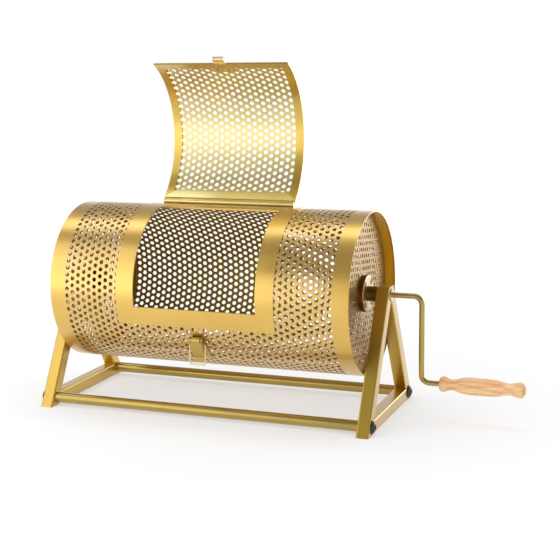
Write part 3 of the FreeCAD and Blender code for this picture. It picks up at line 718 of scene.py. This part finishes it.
# %% Finishes on the imported pieces
NODES_BY_FINISH = (
    (pale_metal, "left_bearing_bush right_bearing_bush grip_washer door_hook hook_rivets"),
    (hub_steel, "left_hub right_hub"),
    (gold_shaded, "left_bearing_sleeve right_bearing_sleeve hub_rivets"),
    (black_steel, "frame_bolts hub_set_screws"),
    (gold_sheet, "door_frame latch_rivets"),
    (gold_border, "door_border_top door_border_left door_border_right"),
    (gold_hinge, "door_border_bottom hinge_drum_leaf hinge_door_leaf hinge_pin hinge_rivets"),
    (gold_latch, "latch_base latch_lever latch_pivot_pin"),
    (gold_wire, "latch_bail"),
    (gold_bar, "crank_rod left_axle left_axle_cap front_cross_rod rear_cross_rod"),
    (grip_wood, "crank_grip grip_end_cap"))
finish_of = {name: finish for finish, names in NODES_BY_FINISH for name in names.split()}
for name, node in frame["nodes"].items():
    node.data.materials.clear()
    node.data.materials.append(finish_of.get(name, gold_tube))
print("packed pieces finished", len(frame["nodes"]))

# %% [markdown]
# ## Floor, light and background
# The photograph is a studio shot on white. The floor is pale and takes the drum's soft shadow close to it,
# and far from the drum it turns into the plain white of the background. Satin metal shows what stands round
# it, so the room that it reflects is white, but darker in front of the drum and above it.

# %% The floor
FLOOR_HALF = 6.0
SHADOW_ENDS, WHITE_STARTS = 0.30, 0.95
GLOW, GLOW_NEAR, GLOW_MIRRORED = 1.04, 0.45, 0.75


def stage_floor():
    """Large square under the feet: it keeps the shadows near the drum, and is a plain white far from it."""
    mesh = bpy.data.meshes.new("floor")
    h = FLOOR_HALF
    mesh.from_pydata([(-h, -h, 0), (h, -h, 0), (h, h, 0), (-h, h, 0)], [], [(0, 1, 2, 3)])
    piece = bpy.data.objects.new("floor", mesh)
    bpy.context.scene.collection.objects.link(piece)
    white = Finish("floor_white")
    white.set(Base_Color=(0.95, 0.955, 0.97, 1.0), Roughness=0.8)
    glow = white.node("ShaderNodeEmission", {}, {"Color": (1.0, 1.0, 1.0, 1.0), "Strength": GLOW})
    mirrored = white.is_ray("Glossy") + white.is_ray("Transmission")
    seen = white.is_ray("Camera") + mirrored * GLOW_MIRRORED
    place = white.place(shift=(-MIDDLE_X, 0.0, 0.0))
    reach = white.node("ShaderNodeVectorMath", {"operation": "LENGTH"}, {0: place}, "Value")
    far = white.node("ShaderNodeMapRange", {"interpolation_type": "SMOOTHSTEP"},
                     {"Value": reach, "From Min": SHADOW_ENDS, "From Max": WHITE_STARTS,
                      "To Min": GLOW_NEAR, "To Max": 1.0})
    lit = Signal(white, white.shader.outputs[0])
    both = white.node("ShaderNodeMixShader", {}, {0: seen * far, 1: lit, 2: glow})
    white.feed(white.tree.nodes["Material Output"].inputs["Surface"], both)
    mesh.materials.append(white.material)


stage_floor()
print("floor", 2 * FLOOR_HALF, "m wide")


# %% Lamps
def softbox(name, place, target, width, height, power):
    """Area lamp at a place, turned to face the target."""
    data = bpy.data.lights.new(name, "AREA")
    data.shape = "RECTANGLE"
    data.size, data.size_y, data.energy = width, height, power
    lamp = bpy.data.objects.new(name, data)
    bpy.context.scene.collection.objects.link(lamp)
    turned = (Vector(target) - Vector(place)).to_track_quat("-Z", "Y").to_matrix().to_4x4()
    lamp.visible_camera = False
    lamp.matrix_world = Matrix.Translation(Vector(place)) @ turned


DRUM_MIDDLE = (MIDDLE_X, 0.0, AXIS_Z)
softbox("front_left_lamp", (MIDDLE_X - 0.62, -1.00, 0.40), (MIDDLE_X, -0.1, 0.2), 0.90, 0.75, 2.6)
softbox("high_left_lamp", (MIDDLE_X - 0.80, -0.85, 1.05), (MIDDLE_X - 0.15, -0.1, 0.2), 0.60, 0.60, 1.4)
softbox("overhead_lamp", (MIDDLE_X - 0.32, 0.12, 1.30), (MIDDLE_X - 0.30, 0.0, 0.2), 1.60, 0.34, 3.4)
softbox("back_right_lamp", (MIDDLE_X + 1.3, 2.2, 0.5), DRUM_MIDDLE, 1.3, 1.1, 12.0)
print("lamps", len(bpy.data.lights))


# %% The room that the metal reflects
FRONT_SHADE, HIGH_SHADE = 0.3, 0.6
ROOM_LIGHT = 0.85


def studio_room():
    """White all round for the camera. Reflections see it too, but darker towards the front, which is -y, and
    upwards, and the light that falls from it is a little weaker than white."""
    world = bpy.data.worlds.new("studio")
    world.use_nodes = True
    bpy.context.scene.world = world
    room = NodeTree(world.node_tree)
    back = room.tree.nodes["Background"]
    to_camera, glossy, through = (room.is_ray(kind) for kind in ("Camera", "Glossy", "Transmission"))
    direction = room.node("ShaderNodeTexCoord", {}, {}, "Generated")
    y, z = (room.node("ShaderNodeSeparateXYZ", {}, {0: direction}, axis) for axis in "YZ")
    smooth = {"interpolation_type": "SMOOTHSTEP"}
    front = room.node("ShaderNodeMapRange", smooth, {"Value": y * -1.0, "From Min": 0.0, "From Max": 0.7})
    high = room.node("ShaderNodeMapRange", smooth, {"Value": z, "From Min": 0.10, "From Max": 0.55})
    shade = (1.0 - front * FRONT_SHADE) * (1.0 - high * HIGH_SHADE)
    seen = to_camera + (glossy + through) * shade
    room.feed(back.inputs["Strength"], seen + (1.0 - to_camera - glossy - through) * ROOM_LIGHT)
    back.inputs["Color"].default_value = (1.0, 1.0, 1.0, 1.0)


studio_room()
bpy.context.scene.view_settings.view_transform = "Standard"
print("room", bpy.context.scene.world.name)
